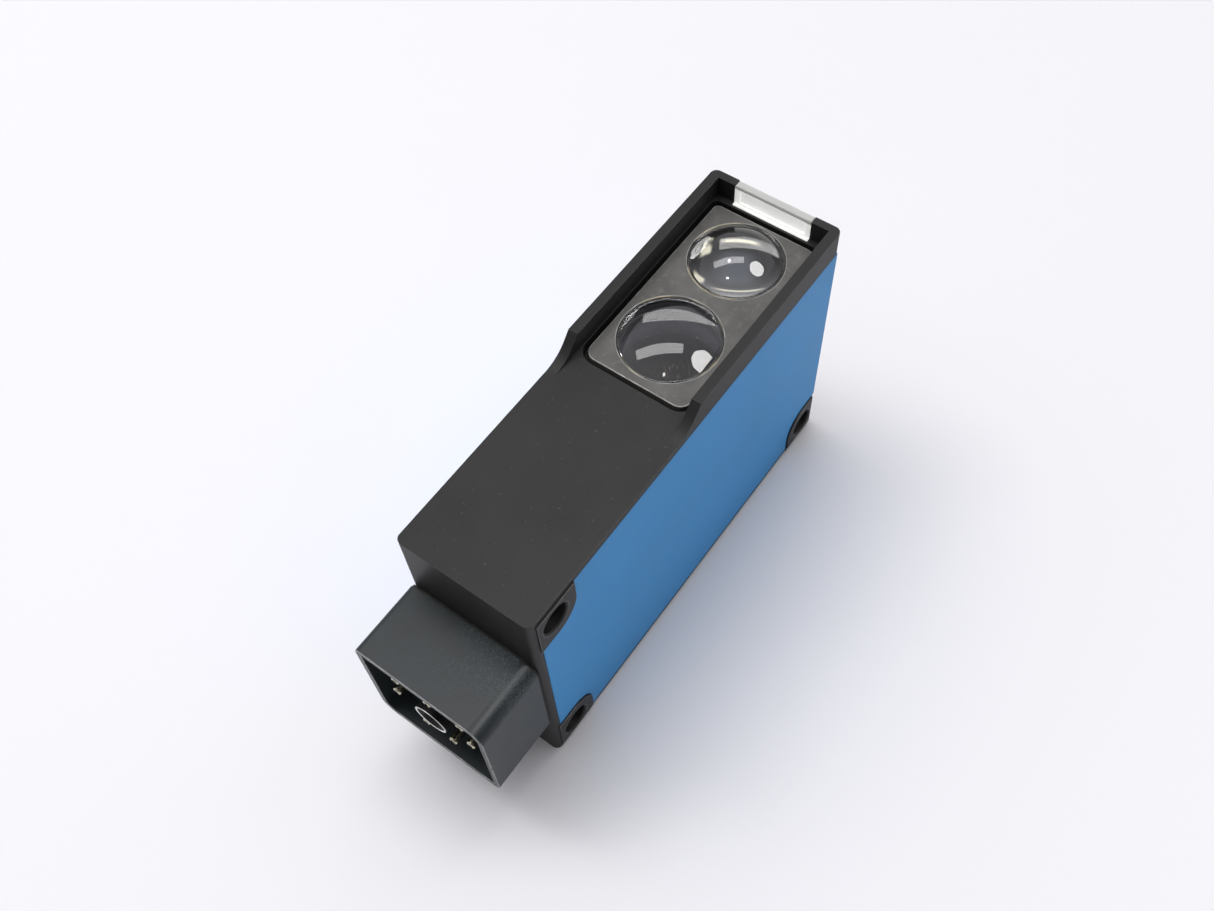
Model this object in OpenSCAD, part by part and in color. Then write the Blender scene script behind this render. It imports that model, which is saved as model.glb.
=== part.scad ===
// Compact photoelectric sensor with a plug connection, lying on its back.
// X runs from the plug (-X) to the indicator end (+X), Y is the width and
// Z is the way the lenses look. Z = 0 is the plane that the back feet rest on.
// Every sub-part is drawn in housing coordinates, where x = 0 is the face
// that carries the plug, and place() then moves it to the part's own origin.

/* [Housing] */
// Length of the housing without the plug
body_l = 80.6; // [74:0.1:100]
// Width of the housing over its side covers
body_w = 24; // [23:0.1:32]
// Depth from the back face to the flat front face
body_d = 49.7; // [46.5:0.1:62]
// Back wall and far end wall
wall = 2; // [1.4:0.1:2.4]
// End wall that carries the plug
near_wall = 3; // [2.4:0.1:4]
// Front wall round the lens plate
front_wall = 3.4; // [3:0.1:4.4]
// Radius of the upright edges
edge_r = 1.2; // [0.4:0.1:1.5]
// Height of the two feet at the back corners
foot_h = 0.5; // [0.2:0.1:1.5]
// How far the screw bosses stand proud of each side
boss_proud = 0.3; // [0.1:0.1:1]

/* [Mounting holes] */
// Through hole for a mounting screw
bore_d = 5.2; // [4:0.1:6.4]
// Radius of the boss round each hole
boss_r = 4.7; // [4:0.1:6]
// Hole centre from the plug end face
bore_near = 5; // [4:0.1:6.5]
// Hole centre from the far end face
bore_far = 4.4; // [4:0.1:6]
// Hole centre from the back face
bore_back = 3.9; // [3.6:0.1:5.5]
// Hole centre from the flat front face
bore_front = 4.9; // [4.4:0.1:6.5]
// Chamfer at the mouth of each hole
bore_chamfer = 0.3; // [0.1:0.1:0.6]

/* [Hood] */
// Height of the rails above the flat front face
hood_h = 3.8; // [2:0.1:6]
// Thickness of the two side rails
hood_wall = 1.7; // [1.2:0.1:2.2]
// Thickness of the rail across the far end
hood_end_wall = 1.4; // [1:0.1:1.8]
// Rail foot ahead of the lens plate
hood_lead = 2.9; // [1.5:0.1:5]
// Length of the slope at the start of each rail
hood_slope = 3.3; // [1:0.1:5]
// Run of the hollow blend in front of the slope
hood_blend = 3; // [1:0.1:4]

/* [Side covers] */
// Thickness of the side covers
cover_t = 1.2; // [0.8:0.1:1.6]
// Strip of housing left at the plug end
cover_end = 1.6; // [1:0.1:2.4]
// Lip of housing left at the back and the far end
cover_lip = 0.3; // [0.2:0.1:0.8]
// Strip of housing left below the flat front face
cover_top = 1.2; // [0.8:0.1:2]
// Gap round the edge of a cover
cover_gap = 0.1; // [0.05:0.05:0.3]
// Height of the locating rim inside a cover
rim_h = 0.8; // [0.4:0.1:1.2]

/* [Lenses] */
// Receiver lens diameter
receiver_d = 16.4; // [12:0.1:17]
// Emitter lens diameter
emitter_d = 15.5; // [12:0.1:16.5]
// Distance between the two lens centres
lens_spacing = 18.5; // [17.5:0.1:21]
// Emitter lens centre from the far end face
lens_far = 11.7; // [11.2:0.1:14]
// Rise of the receiver lens dome
receiver_dome = 2.2; // [1:0.1:3.5]
// Rise of the emitter lens dome
emitter_dome = 3.4; // [1:0.1:3.7]
// Flat ring round each dome
lens_rim = 0.4; // [0.2:0.1:0.8]
// Step from the lens edge to its barrel
lens_step = 0.6; // [0.4:0.1:1]

/* [Lens plate] */
// Thickness of the lens plate
plate_t = 1.6; // [1.2:0.1:1.8]
// Groove between the plate and the housing
plate_gap = 0.8; // [0.4:0.1:1.2]
// Shelf left between the groove and the rails
plate_shelf = 0.2; // [0.1:0.1:0.6]
// Plate edge beyond the receiver lens
plate_near = 1.6; // [1:0.1:3]
// Plate edge beyond the emitter lens
plate_far = 0.6; // [0.5:0.1:1.2]
// Thickness of the gasket under the plate
seal_t = 0.6; // [0.4:0.1:0.8]
// Width of the ledge that the gasket lies on
plate_ledge = 1; // [0.8:0.1:1.4]

/* [Indicator window] */
// Width of the indicator window
window_w = 14.2; // [8:0.1:16]
// How far the window runs down the end face, below the front face
window_drop = 9; // [6:0.1:12]

/* [Plug] */
// How far the plug stands out of the housing
plug_l = 13; // [9:0.1:18]
// Width of the plug shroud
plug_w = 23.8; // [21.4:0.1:28.6]
// Height of the plug shroud
plug_h = 23.2; // [20:0.1:28]
// Wall of the plug shroud
plug_wall = 1; // [0.8:0.1:1.4]
// Radius of the two rounded corners of the shroud
plug_r = 3; // [1.5:0.1:4]
// Radius of the two keyed corners of the shroud
plug_key_r = 1; // [0.3:0.1:1.4]
// Width and height of the neck through the end wall
neck_s = 19.6; // [19.2:0.1:20]
// Depth of the socket in front of the pins' base
socket_depth = 8.5; // [6:0.1:11]
// Contact pin diameter
pin_d = 1.6; // [1:0.1:2]
// Distance from the mouth of the shroud to the pin tips
pin_inset = 0.6; // [0.2:0.1:3]
// Outer diameter of the screw bush in the middle
bush_d = 6; // [5:0.1:7]
// Tapping bore of the screw bush
bush_bore_d = 3.3; // [2.4:0.1:4]

/* [Adjusters] */
// Diameter of the slotted heads in the far end face
head_d = 5; // [4:0.1:6]
// Diameter of the sealed collar behind a head
collar_d = 6; // [5.2:0.1:7.4]
// Range spindle height above the far hole's boss
spindle_rise = 8.4; // [7:0.1:9]
// Distance from the range spindle to the mode switch
adjuster_pitch = 9; // [8.4:0.1:9.5]
// Thread diameter of the range spindle
spindle_d = 2.5; // [2:0.1:3]
// Detector travel each way
detector_travel = 1.75; // [1:0.05:2.2]

/* [Inside] */
// Running clearance between moving pieces
running = 0.05; // [0.02:0.01:0.1]
// Assembly clearance between fixed pieces
slack = 0.1; // [0.05:0.05:0.2]
// Circuit board thickness
board_t = 1.2; // [0.8:0.1:1.6]

/* [Hidden] */
$fn = 64;

// Colours
BLACK = "#232325";
DARK = "#333335";
BLUE = "#4a80ae";
GREY = "#66665f";

// Main planes
back_z = foot_h;
front_z = back_z + body_d;
top_z = front_z + hood_h;
over = 1;                                   // how far a cut runs past a face
lap = 0.2;                                  // how far two fused shapes run into each other
pad_inset = edge_r;                         // boss pads stop short of the rounded edges

// Lenses and lens plate
emitter_x = body_l - lens_far;
receiver_x = emitter_x - lens_spacing;
plate_x0 = receiver_x - receiver_d / 2 - plate_near;
plate_x1 = emitter_x + emitter_d / 2 + plate_far;
hood_in_w = body_w - 2 * hood_wall;
plate_w = hood_in_w - 2 * (plate_gap + plate_shelf);
plate_near_r = 2;
plate_far_r = 1;
far_r_grow = 0.2;                           // how much the tight corners open up in the recess
seat_z = front_z - plate_t - seal_t;        // floor of the plate's recess
lens_sink = 1.5;                            // how deep a lens sits in the carrier
carrier_z1 = front_z - front_wall - slack;
lens_z0 = carrier_z1 - lens_sink;

// Side covers and indicator window
rim_t = 1;
panel_t = 0.3;
panel_side = 1;                             // margins of the panel in the window
panel_foot = 0.4;
panel_head = 0.9;

// Mounting holes: [x, z, side of the corner along x, and along z]
HOLES = [[bore_near, front_z - bore_front, -1, 1],
    [bore_near, back_z + bore_back, -1, -1],
    [body_l - bore_far, back_z + bore_back, 1, -1]];

// Plug
plug_z = back_z + body_d / 2 - 0.2;
plug_seal_t = 0.4;
plug_seal_inset = 0.15;
plug_floor_t = 1.5;
sharp_r = 0.2;                              // least radius of a corner of the plug
insert_x0 = -plug_l + socket_depth;
neck_wall = 1.2;
pin_x0 = -plug_l + pin_inset;
pin_tail = 6;                               // pin length behind the end wall
pin_hole = 0.28;                            // radius of the hole in a tip, by pin diameter
pin_hole_l = 1.5;
bush_inset = 0.3;
bush_foot = 4;                              // length of the bush that sits in the insert
bush_floor_t = 1;
bush_lip = 0.35;                            // flat ring round the funnel at its mouth
bush_funnel = 1.6;
// Contact pins: [y, z] from the centre of the plug
PINS = [[6.2, 5.5], [0, 5.5], [-6.2, 5.5], [7.3, -0.5], [-7.3, -0.5],
    [2.7, -6.6], [-2.7, -6.6]];
plug_board_x = near_wall + 4.2;
plug_board_s = 17.6;

// Adjusters in the far end face
spindle_z = back_z + bore_back + boss_r + spindle_rise;
switch_z = spindle_z + adjuster_pitch;
adjuster_depth = 6.5;
adjuster_boss_r = collar_d / 2 + 1.2;
head_sink = 0.4;
slot_w = 0.9;
slot_depth = 1;
oring_r = 0.5;                              // radius of the ring's own section
oring_x = 4;                                // ring centre behind the end face
oring_squeeze = 0.02;
groove_play = 0.1;
collar_foot = 1.4;                          // collar left behind the ring
retainer_t = 0.8;
switch_shaft_r = 1.5;
switch_body_l = 4;

// Optics carrier
carrier_w = receiver_d + 1.4;
carrier_wall = 1.2;
receiver_x0 = receiver_x - receiver_d / 2 - 0.6;
receiver_x1 = receiver_x + receiver_d / 2 + 0.6;
emitter_x1 = emitter_x + emitter_d / 2 - lens_step + 0.8;
emitter_block_d = 12.7;
emitter_z0 = carrier_z1 - emitter_block_d;
carrier_z0 = spindle_z - 5;
channel_z0 = spindle_z + 5.5;               // floor of the receiver channel
pocket_z0 = spindle_z - 3.5;
pocket_z1 = spindle_z + 4;
pocket_l = receiver_x1 - receiver_x0 - 2 * carrier_wall;
holder_r = 5;
holder_t = 2.8;
led_r = 2.5;
led_stem = 2.6;
led_flange_t = 0.8;
led_flange = 0.5;

// Detector carriage
carriage_l = pocket_l - 2 * detector_travel - 2;
carriage_w = 11;
carriage_z0 = spindle_z - 3;
carriage_z1 = spindle_z + 2;
carriage_gap = 0.5;                         // from the carriage to the back of its pocket
slit_l = 8;                                 // light slit above the detector
slit_w = 5;
rod_r = 0.75;
rod_offset = 4;
diode_t = 1.4;
diode_l = 7;
diode_w = 6;
rod_end = 0.2;                              // the rods stop short of the carrier's faces

// Boards
main_board_y = 5;
groove_depth = 0.8;
board_x0 = plug_board_x + board_t + 1.5;
board_x1 = receiver_x0 - 0.8;
analog_t = 1;
analog_margin = 0.5;
// Packages on the inner face of the main board: [x, z, length, height, thickness]
CHIPS = [[8, 25, 9, 9, 1.4], [20, 30, 7, 5, 1.2], [20, 19, 6, 5, 1.2], [10, 12, 6, 6, 2.2]];
// Capacitors on the same face: [x, z]
CAPS = [[9, 36], [9, 42]];
cap_r = 2.4;
cap_l = 6;
screw_r = 0.8;
screw_head_r = 1.4;
screw_head_t = 0.6;
screw_l = 3;
screw_slot = 0.2;                           // half the width of the slot in a head
screw_mid = receiver_x + lens_spacing / 2;
SCREW_X = [screw_mid - 1.5, screw_mid + 2.9];
SCREW_Z = emitter_z0 + emitter_block_d / 2;
indicator_y = 5.9;
indicator_z = front_z - window_drop + 2.5;
indicator_r = 1.2;
indicator_l = 3.2;
indicator_gap = 0.5;                        // from the tip of a lamp to the end wall
flange_t = 0.6;
flange_proud = 0.2;
notch_l = 2.2;
notch_gap = 0.4;

// ---------- helpers ----------

// Housing coordinates to the part's own frame
module place() {
    translate([-(body_l - plug_l) / 2, 0, 0]) children();
}

// Extrude a (y, z) outline along X
module along_x(x0, length) {
    translate([x0, 0, 0]) rotate([90, 0, 90]) linear_extrude(length) children();
}

// Extrude an (x, z) outline along Y
module along_y(y0, width) {
    translate([0, y0 + width, 0]) rotate([90, 0, 0]) linear_extrude(width) children();
}

// Round bar or bore along X or Y
module rod_x(x0, length, r, y, z) {
    translate([x0, y, z]) rotate([0, 90, 0]) cylinder(h = length, r = r);
}
module rod_y(y0, length, r, x, z) {
    translate([x, y0, z]) rotate([-90, 0, 0]) cylinder(h = length, r = r);
}

// Box between two corners
module box(low, high) {
    translate(low) cube(high - low);
}

// Rectangle between two corners given in any order
module span(x0, x1, z0, z1) {
    translate([min(x0, x1), min(z0, z1)]) square([abs(x1 - x0), abs(z1 - z0)]);
}

// Centred rectangle with a radius of its own at each corner, in the order
// (+,+), (-,+), (-,-), (+,-)
module round_rect(l, w, radii) {
    signs = [[1, 1], [-1, 1], [-1, -1], [1, -1]];
    difference() {
        square([l, w], center = true);
        for (i = [0:3]) translate([signs[i].x * (l / 2 - radii[i]), signs[i].y * (w / 2 - radii[i])])
            difference() {
                span(0, signs[i].x * (radii[i] + over), 0, signs[i].y * (radii[i] + over));
                circle(radii[i]);
            }
    }
}

// Corner of the housing round a mounting hole, as an (x, z) outline that
// reaches past the two outer faces
module corner_zone(h, r, reach) {
    edge_x = (h[2] < 0 ? 0 : body_l) + h[2] * reach;
    edge_z = (h[3] < 0 ? 0 : front_z) + h[3] * reach;
    translate([h[0], h[1]]) circle(r);
    span(h[0], edge_x, h[1] - h[3] * r, edge_z);
    span(h[0] - h[2] * r, edge_x, h[1], edge_z);
}

// Outline of a side cover's rebate, made smaller all round by inset
module cover_outline(inset) {
    difference() {
        span(cover_end + inset, body_l - cover_lip - inset,
             back_z + cover_lip + inset, front_z - cover_top - inset);
        for (h = HOLES) corner_zone(h, boss_r + inset, over);
    }
}

// Outline of the hollow inside the housing, made smaller by inset
module cavity_outline(inset) {
    difference() {
        span(near_wall + inset, body_l - wall - inset,
             back_z + wall + inset, front_z - front_wall - inset);
        for (h = HOLES) corner_zone(h, boss_r + inset, over);
    }
}

// Outline of the lens plate seen from the front, made larger by grow
module plate_outline(grow) {
    near_r = plate_near_r + grow;
    far_r = plate_far_r + min(grow, far_r_grow);
    translate([(plate_x0 + plate_x1) / 2, 0])
        round_rect(plate_x1 - plate_x0 + 2 * grow, plate_w + 2 * grow,
                   [far_r, near_r, near_r, far_r]);
}

// Outline of the plug shroud, made smaller by inset
module plug_outline(inset) {
    round_rect(plug_w - 2 * inset, plug_h - 2 * inset,
               [max(plug_key_r - inset, sharp_r), plug_r - inset,
                max(plug_key_r - inset, sharp_r), plug_r - inset]);
}

// ---------- housing ----------

module plan_block(z0, z1) {
    translate([body_l / 2, 0, z0]) linear_extrude(z1 - z0)
        round_rect(body_l, body_w, [edge_r, edge_r, edge_r, edge_r]);
}

// Side view of a rail: a slope, and a hollow blend that leads up to it
module rail_outline() {
    x0 = plate_x0 - hood_lead;
    angle = atan2(hood_h, hood_slope);
    blend_r = hood_blend / tan(angle / 2);
    polygon([[x0, front_z - over], [x0, front_z], [x0 + hood_slope, top_z],
             [body_l, top_z], [body_l, front_z - over]]);
    difference() {
        polygon([[x0 - hood_blend, front_z], [x0 - hood_blend, front_z - over],
                 [x0 + over, front_z - over], [x0 + over, front_z],
                 [x0 + hood_blend * cos(angle), front_z + hood_blend * sin(angle)]]);
        translate([x0 - hood_blend, front_z + blend_r]) circle(blend_r, $fn = 160);
    }
}

module hood() {
    intersection() {
        along_y(-body_w / 2, body_w) rail_outline();
        plan_block(back_z, top_z);
    }
}

module feet() {
    intersection() {
        along_y(-body_w / 2, body_w) for (i = [1, 2]) corner_zone(HOLES[i], boss_r, 0);
        plan_block(0, front_z);
    }
}

module boss_pads() {
    for (h = HOLES) along_y(-body_w / 2 - boss_proud, body_w + 2 * boss_proud) intersection() {
        corner_zone(h, boss_r, 0);
        span(pad_inset, body_l - pad_inset, pad_inset, front_z - pad_inset);
    }
}

module adjuster_bosses() {
    for (z = [spindle_z, switch_z])
        rod_x(body_l - adjuster_depth, adjuster_depth - wall / 2, adjuster_boss_r, 0, z);
}

module adjuster_bores() {
    for (z = [spindle_z, switch_z]) {
        rod_x(body_l - wall - over, wall + 2 * over, head_d / 2 + running, 0, z);
        rod_x(body_l - adjuster_depth - over, adjuster_depth - wall + over,
              collar_d / 2 + running, 0, z);
    }
}

module mounting_bores() {
    for (h = HOLES) {
        rod_y(-body_w, 2 * body_w, bore_d / 2, h[0], h[1]);
        for (side = [-1, 1]) translate([h[0], side * (body_w / 2 + boss_proud), h[1]])
            rotate([side * 90, 0, 0])
            cylinder(h = bore_chamfer, r1 = bore_d / 2 + bore_chamfer, r2 = bore_d / 2);
    }
}

module window_slot() {
    half = window_w / 2 + running;
    box([body_l - wall - over, -half, front_z - window_drop],
        [body_l + over, half, front_z - front_wall]);
    box([body_l - wall, -half, front_z - window_drop], [body_l + over, half, front_z]);
    box([body_l - hood_end_wall - over, -half, front_z - lap], [body_l + over, half, top_z + over]);
}

module housing() {
    color(BLACK) place() difference() {
        union() {
            difference() {
                union() {
                    plan_block(back_z, front_z);
                    hood();
                    feet();
                    boss_pads();
                }
                along_y(-body_w, 2 * body_w) cavity_outline(0);
            }
            adjuster_bosses();
        }
        // rebates for the two side covers
        for (side = [0, 1]) mirror([0, side, 0])
            along_y(body_w / 2 - cover_t, cover_t + over) cover_outline(0);
        // recess of the lens plate, the throat below it and the trough of the hood
        translate([0, 0, seat_z]) linear_extrude(plate_t + seal_t + over) plate_outline(plate_gap);
        translate([0, 0, seat_z - front_wall]) linear_extrude(front_wall + over)
            plate_outline(-plate_ledge);
        box([plate_x0 - hood_lead - hood_blend - over, -hood_in_w / 2, front_z],
            [body_l - hood_end_wall, hood_in_w / 2, top_z + over]);
        window_slot();
        // opening for the neck of the plug
        translate([0, 0, plug_z]) along_x(-over, near_wall + 2 * over)
            square(neck_s + 2 * slack, center = true);
        // grooves that hold the long edges of the main board
        box([board_x0 - slack, main_board_y - running, back_z + wall - groove_depth],
            [board_x1 + slack, main_board_y + board_t + running,
             front_z - front_wall + groove_depth]);
        mounting_bores();
        adjuster_bores();
    }
}

module side_cover() {
    color(BLUE) place() {
        along_y(body_w / 2 - cover_t, cover_t) cover_outline(cover_gap);
        along_y(body_w / 2 - cover_t - rim_h, rim_h + lap) difference() {
            cavity_outline(slack);
            cavity_outline(slack + rim_t);
        }
    }
}
module side_cover_left() { side_cover(); }
module side_cover_right() { mirror([0, 1, 0]) side_cover(); }

// ---------- lenses and window ----------

module lens_plate() {
    color(GREY) place() difference() {
        translate([0, 0, front_z - plate_t]) linear_extrude(plate_t) plate_outline(0);
        translate([emitter_x, 0, front_z - plate_t - over])
            cylinder(h = plate_t + 2 * over, r = emitter_d / 2 + running);
        translate([receiver_x, 0, front_z - plate_t - over])
            cylinder(h = plate_t + 2 * over, r = receiver_d / 2 + running);
    }
}

module lens_plate_seal() {
    color("#1b1b1b") place() translate([0, 0, seat_z]) linear_extrude(seal_t) difference() {
        plate_outline(plate_gap - slack);
        plate_outline(-plate_ledge);
    }
}

// Dome on a short disc that fills the plate, above a narrower barrel
module lens(d, dome) {
    r = d / 2;
    dome_r = r - lens_rim;
    ball_r = (dome_r * dome_r + dome * dome) / (2 * dome);
    translate([0, 0, lens_z0]) cylinder(h = front_z - plate_t + over / 2 - lens_z0, r = r - lens_step);
    translate([0, 0, front_z - plate_t]) cylinder(h = plate_t, r = r);
    intersection() {
        translate([0, 0, front_z + dome - ball_r]) sphere(ball_r);
        translate([0, 0, front_z - over]) cylinder(h = dome + 2 * over, r = dome_r);
    }
}
module emitter_lens() {
    color("#c9cfd2", 0.5) place() translate([emitter_x, 0, 0]) lens(emitter_d, emitter_dome);
}
module receiver_lens() {
    color("#b9c0c4", 0.5) place() translate([receiver_x, 0, 0]) lens(receiver_d, receiver_dome);
}

module indicator_window() {
    half = window_w / 2;
    color("#e8e8e6") place() difference() {
        union() {
            box([body_l - wall + running, -half, front_z - window_drop + running],
                [body_l, half, front_z - running]);
            box([body_l - hood_end_wall, -half, front_z - lap + running], [body_l, half, top_z]);
        }
        // shallow panel in the face that looks at the lenses
        box([body_l - hood_end_wall - over, -half + panel_side, front_z + panel_foot],
            [body_l - hood_end_wall + panel_t, half - panel_side, top_z - panel_head]);
    }
}

module indicator_led(side) {
    tip_x = body_l - wall - indicator_gap;
    place() translate([0, side * indicator_y, indicator_z]) {
        rod_x(tip_x - indicator_l, indicator_l - indicator_r, indicator_r, 0, 0);
        translate([tip_x - indicator_r, 0, 0]) sphere(indicator_r);
        rod_x(tip_x - indicator_l - lap, flange_t, indicator_r + flange_proud, 0, 0);
    }
}
module indicator_led_green() { color("#3fa45a") indicator_led(1); }
module indicator_led_yellow() { color("#e0b030") indicator_led(-1); }

// ---------- plug ----------

module plug_shroud() {
    color(DARK) place() translate([0, 0, plug_z]) {
        // open sleeve
        along_x(-plug_l, plug_l - plug_seal_t) difference() {
            plug_outline(0);
            plug_outline(plug_wall);
        }
        // floor that lies on the gasket
        along_x(-plug_seal_t - plug_floor_t, plug_floor_t) difference() {
            plug_outline(0);
            square(neck_s - 2 * neck_wall, center = true);
        }
        // neck through the end wall
        along_x(-plug_seal_t - lap, plug_seal_t + lap + near_wall) difference() {
            square(neck_s, center = true);
            square(neck_s - 2 * neck_wall, center = true);
        }
    }
}

module plug_seal() {
    color("#151515") place() translate([0, 0, plug_z]) along_x(-plug_seal_t, plug_seal_t) difference() {
        plug_outline(plug_seal_inset);
        square(neck_s + 2 * slack, center = true);
    }
}

module pin_insert() {
    size = neck_s - 2 * neck_wall - 2 * slack;
    step_x = -plug_seal_t - plug_floor_t;
    back_x = near_wall + 1;
    color("#1c1c1e") place() difference() {
        translate([0, 0, plug_z]) {
            along_x(insert_x0, back_x - insert_x0) square(size, center = true);
            // wide face that closes the floor of the socket
            along_x(insert_x0, step_x - insert_x0) plug_outline(plug_wall + slack);
        }
        for (p = PINS) rod_x(insert_x0 - over, back_x + 2 * over - insert_x0,
                             pin_d / 2 + running, p.x, plug_z + p.y);
        rod_x(insert_x0 - over, bush_foot + over, bush_d / 2 + running, 0, plug_z);
    }
}

module screw_bush() {
    bush_x0 = -plug_l + bush_inset;
    color("#b9b9b4") place() difference() {
        rod_x(bush_x0, insert_x0 + bush_foot - bush_x0, bush_d / 2, 0, plug_z);
        rod_x(bush_x0 - over, insert_x0 + bush_foot - bush_floor_t - bush_x0 + over,
              bush_bore_d / 2, 0, plug_z);
        // funnel that leads the screw in
        translate([bush_x0, 0, plug_z]) rotate([0, 90, 0])
            cylinder(h = bush_funnel, r1 = bush_d / 2 - bush_lip, r2 = bush_bore_d / 2);
    }
}

module contact_pin(i) {
    r = pin_d / 2;
    color("#c8b070") place() translate([0, PINS[i].x, plug_z + PINS[i].y]) difference() {
        union() {
            rod_x(pin_x0 + r, near_wall + pin_tail - pin_x0 - r, r, 0, 0);
            translate([pin_x0 + r, 0, 0]) sphere(r);
        }
        rod_x(pin_x0 - over, pin_hole_l + over, pin_hole * pin_d, 0, 0);
    }
}

module plug_board() {
    color("#2f6b43") place() translate([0, 0, plug_z]) along_x(plug_board_x, board_t) difference() {
        square(plug_board_s, center = true);
        for (p = PINS) translate([p.x, p.y]) circle(r = pin_d / 2 + running);
    }
}

// ---------- circuit boards ----------

module main_board() {
    edge = groove_depth - slack;
    color("#2f6b43") place()
        box([board_x0, main_board_y, back_z + wall - edge],
            [board_x1, main_board_y + board_t, front_z - front_wall + edge]);
}

module control_chips() {
    color("#202022") place() for (c = CHIPS)
        box([board_x0 + c[0] - c[2] / 2, main_board_y - c[4], back_z + c[1] - c[3] / 2],
            [board_x0 + c[0] + c[2] / 2, main_board_y, back_z + c[1] + c[3] / 2]);
}

module capacitors() {
    color("#8d9298") place() for (c = CAPS)
        rod_y(main_board_y - cap_l, cap_l, cap_r, board_x0 + c.x, back_z + c.y);
}

module analog_board() {
    y0 = carrier_w / 2;
    color("#2f6b43") place() difference() {
        box([receiver_x0 + analog_margin, y0, emitter_z0 + analog_margin],
            [emitter_x1 - notch_l - 2 * analog_margin, y0 + analog_t, carrier_z1 - 2 * analog_margin]);
        for (x = SCREW_X) rod_y(y0 - over, analog_t + 2 * over, screw_r + running, x, SCREW_Z);
    }
}

module board_screws() {
    y0 = carrier_w / 2 + analog_t;
    color("silver") place() for (x = SCREW_X) difference() {
        union() {
            rod_y(y0 - analog_t - screw_l, analog_t + screw_l + lap, screw_r, x, SCREW_Z);
            rod_y(y0, screw_head_t, screw_head_r, x, SCREW_Z);
        }
        box([x - screw_head_r, y0 + screw_head_t / 2, SCREW_Z - screw_slot],
            [x + screw_head_r, y0 + over, SCREW_Z + screw_slot]);
    }
}

// ---------- optics ----------

module optics_carrier() {
    half = carrier_w / 2;
    pocket_x0 = receiver_x - pocket_l / 2;
    color("#29292b") place() difference() {
        union() {
            box([receiver_x0, -half, carrier_z0], [receiver_x1, half, carrier_z1]);
            box([receiver_x0, -half, emitter_z0], [emitter_x1, half, carrier_z1]);
        }
        // lens seats
        translate([receiver_x, 0, lens_z0])
            cylinder(h = lens_sink + over, r = receiver_d / 2 - lens_step + running);
        translate([emitter_x, 0, lens_z0])
            cylinder(h = lens_sink + over, r = emitter_d / 2 - lens_step + running);
        // light channels
        translate([receiver_x, 0, channel_z0])
            cylinder(h = carrier_z1 - channel_z0, r = receiver_d / 2 - lens_step - 1);
        translate([emitter_x, 0, emitter_z0 + holder_t])
            cylinder(h = emitter_block_d, r = emitter_d / 2 - lens_step - 1);
        // seat of the emitter holder
        translate([emitter_x, 0, emitter_z0 - over])
            cylinder(h = holder_t + 2 * over, r = holder_r + running);
        // pocket of the detector carriage, open to one side, and its light slit
        box([pocket_x0, -half - over, pocket_z0],
            [pocket_x0 + pocket_l, carriage_w / 2 + carriage_gap, pocket_z1]);
        box([receiver_x - slit_l / 2, -slit_w / 2, pocket_z1 - over],
            [receiver_x + slit_l / 2, slit_w / 2, channel_z0 + over]);
        // holes of the guide rods, the range spindle and the board screws
        for (y = [-rod_offset, rod_offset])
            rod_x(receiver_x0 - over, receiver_x1 - receiver_x0 + 2 * over, rod_r + running, y, spindle_z);
        rod_x(receiver_x0 - over, receiver_x1 - receiver_x0 + 2 * over,
              spindle_d / 2 + running, 0, spindle_z);
        for (x = SCREW_X) rod_y(half - screw_l - over, screw_l + 2 * over, screw_r + running, x, SCREW_Z);
        // notches that clear the two indicator lamps
        for (side = [-1, 1]) {
            y0 = side * (indicator_y - indicator_r - notch_gap);
            y1 = side * (half + over);
            box([emitter_x1 - notch_l, min(y0, y1), emitter_z0 - over],
                [emitter_x1 + over, max(y0, y1), carrier_z1 + over]);
        }
    }
}

module emitter_holder() {
    color("#d9d6cc") place() translate([emitter_x, 0, emitter_z0]) difference() {
        cylinder(h = holder_t - slack, r = holder_r);
        translate([0, 0, -over]) cylinder(h = holder_t + 2 * over, r = led_r + running);
    }
}

module emitter_led() {
    color("#dfe3e6") place() translate([emitter_x, 0, emitter_z0]) {
        translate([0, 0, -led_flange_t]) cylinder(h = led_flange_t, r = led_r + led_flange);
        translate([0, 0, -lap]) cylinder(h = led_stem + lap, r = led_r);
        translate([0, 0, led_stem]) sphere(led_r);
    }
}

module detector_carriage() {
    x0 = receiver_x - carriage_l / 2;
    color("#3b3b40") place() difference() {
        box([x0, -carriage_w / 2, carriage_z0], [x0 + carriage_l, carriage_w / 2, carriage_z1]);
        for (y = [-rod_offset, rod_offset])
            rod_x(x0 - over, carriage_l + 2 * over, rod_r + running, y, spindle_z);
        rod_x(x0 - over, carriage_l + 2 * over, spindle_d / 2 + running, 0, spindle_z);
    }
}

module receiver_diode() {
    color("#46303a") place()
        box([receiver_x - diode_l / 2, -diode_w / 2, carriage_z1],
            [receiver_x + diode_l / 2, diode_w / 2, carriage_z1 + diode_t]);
}

module guide_rods() {
    color("silver") place() for (y = [-rod_offset, rod_offset])
        rod_x(receiver_x0 + rod_end, receiver_x1 - receiver_x0 - 2 * rod_end, rod_r, y, spindle_z);
}

// ---------- adjusters in the far end face ----------

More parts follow.
